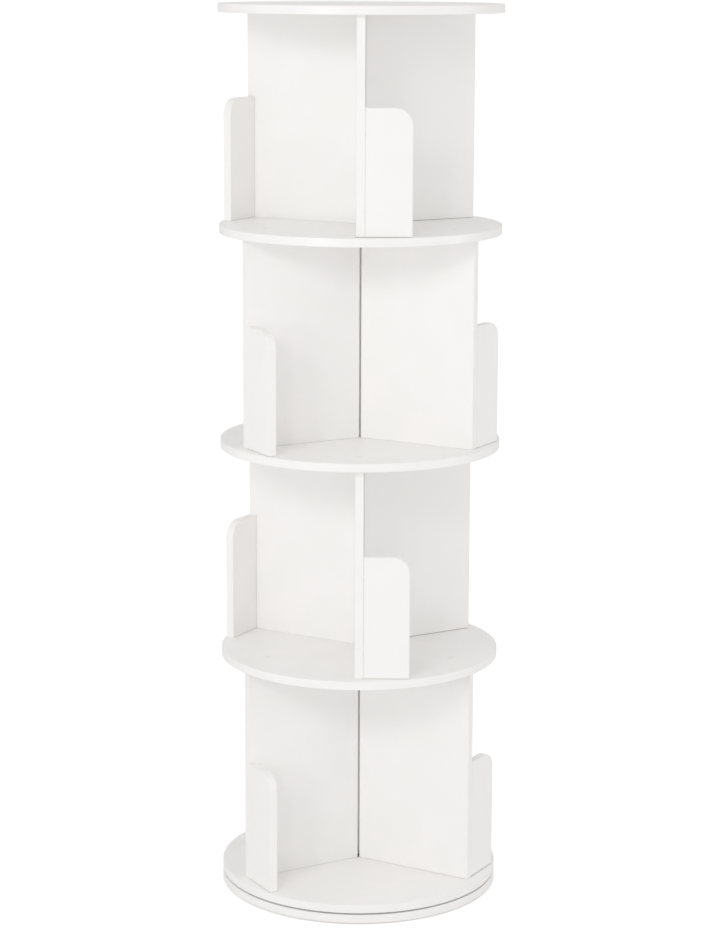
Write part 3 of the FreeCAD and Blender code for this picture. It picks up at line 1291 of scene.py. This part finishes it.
@dataclass
class Screws:
    """Countersunk wood screws with a cross recess, through the boards into the ends of the panels."""

    tier: int
    azimuths: list[float]
    head_radius: float = 3.5
    head_height: float = 2.0
    shank_radius: float = 2.0
    core_radius: float = 1.35
    tip_radius: float = 0.3
    length: float = 45.0
    pitch: float = 2.2
    thread_sharpness: int = 3
    tip_length: float = 4.0
    smooth_shank: float = 12.0
    neck: float = 1.0  # length over which the shank tapers to the core
    sunk: float = 0.15  # how far the head of a foot screw lies inside the underside
    slot_half_width: float = 0.55
    slot_slope: float = 0.2  # width over which the walls of the recess slope
    slot_reach: float = 2.1
    slot_depth: float = 1.3
    columns: int = 48
    head_rings: int = 13
    thread_rings: int = 120

    def head_face(self) -> Patch:
        """Face of the head with its cross recess.

        At distance d from the axis the recess is slot depth * (1 - d / slot reach) deep inside the cross,
        which is where the smaller of |x| and |y| is under the slot's half width. Its walls slope over the
        width slot slope.

        Returns:
            The face, with the rim at height 0.
        """
        distance = np.linspace(0, self.head_radius, self.head_rings)[:, None]
        flat = distance[..., None] * outwards(self.columns)
        inwards = self.slot_half_width + self.slot_slope / 2 - np.abs(flat[..., :2]).min(axis=2)
        reach = np.clip(1 - distance / self.slot_reach, 0, 1)
        depth = self.slot_depth * np.clip(inwards / self.slot_slope, 0, 1) * reach
        points = flat - depth[..., None] * UP
        return Patch(points, tilted(points, UP))

    def thread(self) -> Patch:
        """Threaded part, from the end of the smooth shank to the tip.

        At height z and angle a the radius is the core's radius plus the thread, which is its depth times
        1 - |2 f - 1| to the power of its sharpness, f being the fraction of z / pitch - a / full turn. Both
        run out towards the tip.

        Returns:
            The thread, without the tip's end.
        """
        heights = np.linspace(-self.smooth_shank, -self.length, self.thread_rings)[:, None]
        turn = (np.arange(self.columns + 1) % self.columns) / self.columns
        fraction = (heights / self.pitch - turn) % 1.0
        left = np.clip((self.length + heights) / self.tip_length, 0, 1)
        depth = (self.shank_radius - self.core_radius) * left
        crest = depth * (1 - abs(2 * fraction - 1)) ** self.thread_sharpness
        radius = self.tip_radius + (self.core_radius - self.tip_radius) * left + crest
        points = ringed(radius, heights, self.columns)
        return Patch(points, tilted(points, outwards(self.columns)))

    def screw(self) -> Shape:
        """Screw about its own axis, downwards from the face of its head at height 0.

        Returns:
            The screw.
        """
        thread = self.thread()
        corners = [
            (self.core_radius, -self.smooth_shank), (self.shank_radius, self.neck - self.smooth_shank),
            (self.shank_radius, -self.head_height), (self.head_radius, 0.0),
        ]
        shank = turned(bent_line(corners, [0.0] * len(corners), closed=False, steps=1), self.columns)
        ends = np.stack([thread.points[0], shank.points[0]])
        joint = Patch(ends, np.stack([shank.normals[0], shank.normals[0]]))
        last = thread.points[-1]
        tip = Patch(np.stack([last, last * UP]), np.broadcast_to(-UP, (2, *last.shape)))
        return weld([self.head_face(), shank, joint, thread, tip])

    def build(self) -> list[bpy.types.Object]:
        """Make the screws under and over the tier's panels.

        Returns:
            The two pieces.
        """
        screw = self.screw()
        foot, head = f"tier_{self.tier}_foot_screws", f"tier_{self.tier}_head_screws"
        under, over = height_span(foot)[0] + self.sunk, height_span(head)[1]
        made = []
        for node, shape, face in ((foot, screw.flipped(), under), (head, screw, over)):
            screws = repeated(shape, self.azimuths, SCREW_CIRCLE, face)
            made.append(make_piece(node + "_threaded", node, screws, Body.TOWER, ZincPlate()))
        return made


@dataclass
class Dowels:
    """Fluted beech dowels between boards, panels and stops."""

    tier: int
    azimuths: list[float]
    radius: float = 3.0
    flute: float = 0.18
    flutes: int = 12
    chamfer: float = 0.6
    length: float = 30.0
    cover: float = 4.0  # board left between a dowel's end and the far face
    panel_dowel_radius: float = 55.0
    stop_margin: float = 35.0  # from a stop's foot or head to its dowel
    columns: int = 48

    def dowel(self) -> Shape:
        """Dowel about its own axis, downwards from height 0.

        The radius at angle a is the dowel's radius less a flute, flute * (1 + cos(flutes * a)) / 2, and both
        ends taper over the chamfer.

        Returns:
            The dowel.
        """
        spokes = outwards(self.columns)
        around = self.radius - self.flute * (1 + np.cos(self.flutes * round_angles(self.columns))) / 2
        heights = np.array([0.0, -self.chamfer, self.chamfer - self.length, -self.length])[:, None]
        inset = np.array([self.chamfer, 0.0, 0.0, self.chamfer])[:, None]
        points = ringed(around - inset, heights, self.columns)
        pairs = [points[row : row + 2] for row in range(len(points) - 1)]
        ends = [
            Patch(np.stack([points[row], points[row] * UP]), np.broadcast_to(facing, (2, *spokes.shape)))
            for row, facing in ((0, UP), (-1, -UP))
        ]
        return weld([Patch(pair, tilted(pair, spokes)) for pair in pairs] + ends)

    def build(self) -> bpy.types.Object:
        """Make the dowels of one tier as one piece.

        Returns:
            The piece.
        """
        bottom, top = height_span(f"tier_{self.tier}_panel_1")
        stop_bottom, stop_top = height_span(f"tier_{self.tier}_stop_1")
        dowel = self.dowel()
        level = dowel.leaning().placed(x=PANEL_OUTER - STOCK / 2, y=self.cover - STOCK / 2)
        places = [
            dowel.flipped().placed(x=self.panel_dowel_radius, z=bottom + self.cover - STOCK),
            dowel.placed(x=self.panel_dowel_radius, z=top + STOCK - self.cover),
            level.placed(z=stop_bottom + self.stop_margin),
            level.placed(z=stop_top - self.stop_margin),
        ]
        node = f"tier_{self.tier}_dowels"
        dowels = repeated(joined(places), self.azimuths)
        return make_piece(node + "_fluted", node, dowels, Body.TOWER, BareBeech())


@dataclass
class Turntable:
    """Pivot bolt with its bush, washer and nut, the glides round it, and the pads under the base board."""

    bolt_radius: float = 3.0
    bolt_head_radius: float = 8.0
    bolt_head_height: float = 3.0
    bolt_arrises: tuple[float, ...] = (0.0, 1.0, 0.2, 0.2, 0.6, 0.0)  # from the middle of the head
    bore_radius: float = 3.05
    bush_radius: float = 5.05
    bush_arrises: tuple[float, ...] = (0.2, 0.2, 0.0, 0.2, 0.3, 0.3)  # from the lower end of the bore
    flange_radius: float = 6.25
    flange_thickness: float = 1.0
    washer_radius: float = 6.0
    washer_arrises: tuple[float, ...] = (0.15, 0.15, 0.35, 0.35)  # the punch rounds one side more
    nut_width: float = 10.0
    nut_chamfer: float = 0.45
    nut_lean: float = 0.5  # how far the chamfer's normal rises, to one outwards
    nut_columns: int = 144
    glide_radius: float = 10.0
    glide_circle: float = 160.0
    glide_arrises: tuple[float, ...] = (0.0, 0.1, 0.7, 0.0)
    glides: int = 6
    pad_width: float = 25.0
    pad_corner: float = 3.0
    pad_corner_steps: int = 6
    pad_arrises: tuple[float, ...] = (0.0, 0.5, 0.25, 0.0)
    pad_border: float = 1.0  # from the pad's edge to its flat faces
    pad_circle: float = 165.0
    pads: int = 6
    columns: int = 72

    def turning(self, corners: Sequence[Pair], arrises: Sequence[float], closed: bool = False) -> Shape:
        """Corners (radius, height) with rounded arrises, turned about the axis."""
        return weld([turned(bent_line(corners, arrises, closed=closed), self.columns)])

    def bolt(self) -> bpy.types.Object:
        """Bolt with a low flat head in the base board.

        Returns:
            The piece.
        """
        bottom, top = height_span("pivot_bolt")
        shoulder = bottom + self.bolt_head_height
        corners = [
            (0.0, bottom), (self.bolt_head_radius, bottom), (self.bolt_head_radius, shoulder),
            (self.bolt_radius, shoulder), (self.bolt_radius, top), (0.0, top),
        ]
        shape = self.turning(corners, self.bolt_arrises)
        return make_piece("pivot_bolt_plated", "pivot_bolt", shape, Body.BASE, ZincPlate())

    def bush(self) -> bpy.types.Object:
        """Flanged bush in the bottom board.

        Returns:
            The piece.
        """
        bottom, top = height_span("pivot_bush")
        flange = top - self.flange_thickness
        corners = [
            (self.bore_radius, bottom), (self.bush_radius, bottom), (self.bush_radius, flange),
            (self.flange_radius, flange), (self.flange_radius, top), (self.bore_radius, top),
        ]
        shape = self.turning(corners, self.bush_arrises, closed=True)
        return make_piece("pivot_bush_moulded", "pivot_bush", shape, Body.TOWER, NaturalNylon())

    def washer(self) -> bpy.types.Object:
        """Punched washer over the bush.

        Returns:
            The piece.
        """
        bottom, top = height_span("pivot_washer")
        bore, edge = self.bore_radius, self.washer_radius
        corners = [(bore, bottom), (edge, bottom), (edge, top), (bore, top)]
        shape = self.turning(corners, self.washer_arrises, closed=True)
        return make_piece("pivot_washer_plated", "pivot_washer", shape, Body.BASE, ZincPlate())

    def nut(self) -> bpy.types.Object:
        """Hexagon nut.

        The radius at angle a is half the width over the cosine of the angle to the middle of the nearest
        flat. At both ends it is held to half the width, which cuts the corners back over the chamfer.

        Returns:
            The piece.
        """
        bottom, top = height_span("pivot_nut")
        spokes, angle = outwards(self.nut_columns), round_angles(self.nut_columns)
        sixth, half, lean = math.pi / 3, self.nut_width / 2, self.nut_lean * UP
        flats = np.round(angle / sixth) * sixth
        hexagon = half / np.cos(angle - flats)
        bore, end = np.full_like(hexagon, self.bore_radius), np.full_like(hexagon, half)
        lower, upper = bottom + self.nut_chamfer, top - self.nut_chamfer
        heights = np.array([bottom, bottom, lower, upper, top, top])[:, None]
        radius = np.stack([bore, end, hexagon, hexagon, end, bore])
        points = ringed(radius, heights, self.nut_columns)
        facing = np.stack([np.cos(flats), np.sin(flats), 0 * flats], axis=1)
        level = np.zeros_like(spokes)
        normals = [level - UP, unit(spokes - lean), facing, unit(spokes + lean), level + UP, -spokes]
        patches = [
            Patch(points[[row, (row + 1) % len(normals)]], np.stack([normal, normal]))
            for row, normal in enumerate(normals)
        ]
        return make_piece("pivot_nut_plated", "pivot_nut", weld(patches), Body.BASE, ZincPlate())

    def glide_ring(self) -> bpy.types.Object:
        """Glides with rounded upper edges, on a circle near the rim of the base board.

        Returns:
            The piece.
        """
        bottom, top = height_span("glides")
        corners = [(0.0, bottom), (self.glide_radius, bottom), (self.glide_radius, top), (0.0, top)]
        ring = repeated(self.turning(corners, self.glide_arrises), evenly(self.glides), self.glide_circle)
        return make_piece("glides_moulded", "glides", ring, Body.BASE, NaturalNylon())

    def foot_pads(self) -> bpy.types.Object:
        """Square felt pads with rounded corners and soft edges.

        Returns:
            The piece.
        """
        bottom, top = height_span("foot_pads")
        half, inside = self.pad_width / 2, -self.pad_border
        corners = [(-half, -half), (half, -half), (half, half), (-half, half)]
        plan = bent_line(corners, [self.pad_corner] * len(corners), steps=self.pad_corner_steps)
        side = [(inside, bottom), (0.0, bottom), (0.0, top), (inside, top)]
        flank = carried(plan, bent_line(side, self.pad_arrises, closed=False))
        pad = weld([flank, lid(plan, inside, bottom, -1), lid(plan, inside, top, 1)])
        pads = repeated(pad, evenly(self.pads), self.pad_circle)
        return make_piece("foot_pads_felt", "foot_pads", pads, Body.BASE, PressedFelt())

    def build(self) -> list[bpy.types.Object]:
        """Make every piece of the turntable."""
        return [self.bolt(), self.bush(), self.washer(), self.nut(), self.glide_ring(), self.foot_pads()]


# Studio


def turned_by(angle: float, axis: str) -> Matrix:
    """Turn by an angle about one of the axes X, Y and Z."""
    return Matrix.Rotation(math.radians(angle), 4, axis)


@dataclass(frozen=True)
class Softbox:
    """Square area light that looks at a point of the tower.

    Attributes:
        name: Name of the light.
        azimuth: Direction it comes from, from the front towards the right.
        elevation: Direction it comes from, above the horizon.
        distance: Distance from the point that it looks at, in metres.
        size: Width of the light in metres.
        power: Power in watts.
    """

    name: str
    azimuth: float
    elevation: float
    distance: float
    size: float
    power: float


@dataclass
class Studio:
    """Pale floor, soft light and the camera."""

    camera_distance: float = 3510.0  # from the axis
    camera_height: float = 1330.0
    camera_pitch: float = 10.42  # downwards
    camera_roll: float = 0.204
    camera_azimuth: float = 0.1  # a little to the right of the front
    camera_shift: float = -0.0474  # as a share of the view's height
    focal_pixels: float = 2487.0  # focal length in pixels of the view
    image_height: float = 928.0  # height of the view in pixels
    sensor: float = 36.0
    floor_rings: tuple[float, ...] = (0.0, 1.0, 4.0, 20.0, 400.0)  # metres
    floor_columns: int = 64
    sky: float = 0.74  # strength of the light from all around
    backdrop: float = 1.0  # strength at which the eye sees the room
    aim_height: float = 640.0
    lights: tuple[Softbox, ...] = (
        Softbox("front_softbox", -15.0, 25.0, 3.2, 0.5, 6.5),
        Softbox("left_upper_softbox", -30.0, 25.0, 3.2, 0.5, 5.5),
        Softbox("left_lower_softbox", -30.0, 5.0, 3.2, 0.5, 8.5),
        Softbox("right_softbox", 80.0, 5.0, 3.2, 1.2, 9.0),
    )

    def camera(self) -> None:
        """Set up the camera in front of the tower, looking down a little."""
        data = bpy.data.cameras.new("camera")
        data.sensor_width = self.sensor
        data.lens = self.focal_pixels * self.sensor / self.image_height
        data.shift_y = self.camera_shift
        camera = make_object("camera", data)
        place = Matrix.Translation((0, -self.camera_distance * METRES, self.camera_height * METRES))
        turn = turned_by(self.camera_azimuth, "Z") @ place @ turned_by(90 - self.camera_pitch, "X")
        camera.matrix_world = turn @ turned_by(self.camera_roll, "Z")
        bpy.context.scene.camera = camera

    def floor(self) -> None:
        """Lay a plain pale floor, a flat disc that reaches far behind the tower."""
        plan = np.array(self.floor_rings)[:, None, None] / METRES * circle(1.0, self.floor_columns).points
        dressed("studio_floor", weld([flat_patch(plan, 0.0, 1)]), (StudioPaper(),))

    def light(self) -> None:
        """Fill the room with even light before a backdrop that looks plain white, and add the softboxes."""
        world = bpy.data.worlds.new("studio_daylight")
        tree = empty_tree(world)
        path = add(tree, "ShaderNodeLightPath").outputs["Is Camera Ray"]
        level = add(tree, RANGE, {"To Min": self.sky, "To Max": self.backdrop}, {"Value": path})
        white, strength = {"Color": linear("#FFFFFF")}, {"Strength": level.outputs["Result"]}
        room = add(tree, "ShaderNodeBackground", white, strength)
        add(tree, "ShaderNodeOutputWorld", links={"Surface": room.outputs["Background"]})
        bpy.context.scene.world = world
        for box in self.lights:
            data = bpy.data.lights.new(box.name, "AREA")
            data.size, data.energy = box.size, box.power
            aim = Matrix.Translation((0, 0, self.aim_height * METRES)) @ turned_by(box.azimuth, "Z")
            turn = aim @ turned_by(90 - box.elevation, "X")
            make_object(box.name, data).matrix_world = turn @ Matrix.Translation((0, 0, box.distance))

    def build(self) -> None:
        """Set up the studio, with plain tones so that white stays white."""
        self.camera()
        self.floor()
        self.light()
        bpy.context.scene.view_settings.view_transform = "Standard"


def main() -> None:
    """Build the studio and the tower, piece by piece."""
    logging.basicConfig(level=logging.INFO, format="%(name)s: %(message)s")
    Studio().build()
    stack = BoardStack()
    made = stack.build()
    azimuths = {tier: stack.azimuths(tier) for tier in range(1, stack.tiers + 1)}
    for tier, directions in azimuths.items():
        made += Tier(tier, directions, FITS[tier]).build()
        made += Screws(tier, directions).build()
        made.append(Dowels(tier, directions).build())
    made.append(ScrewCaps(azimuths).build())
    made += Turntable().build()
    log.info("%d pieces", len(made))


if __name__ == "__main__":
    main()
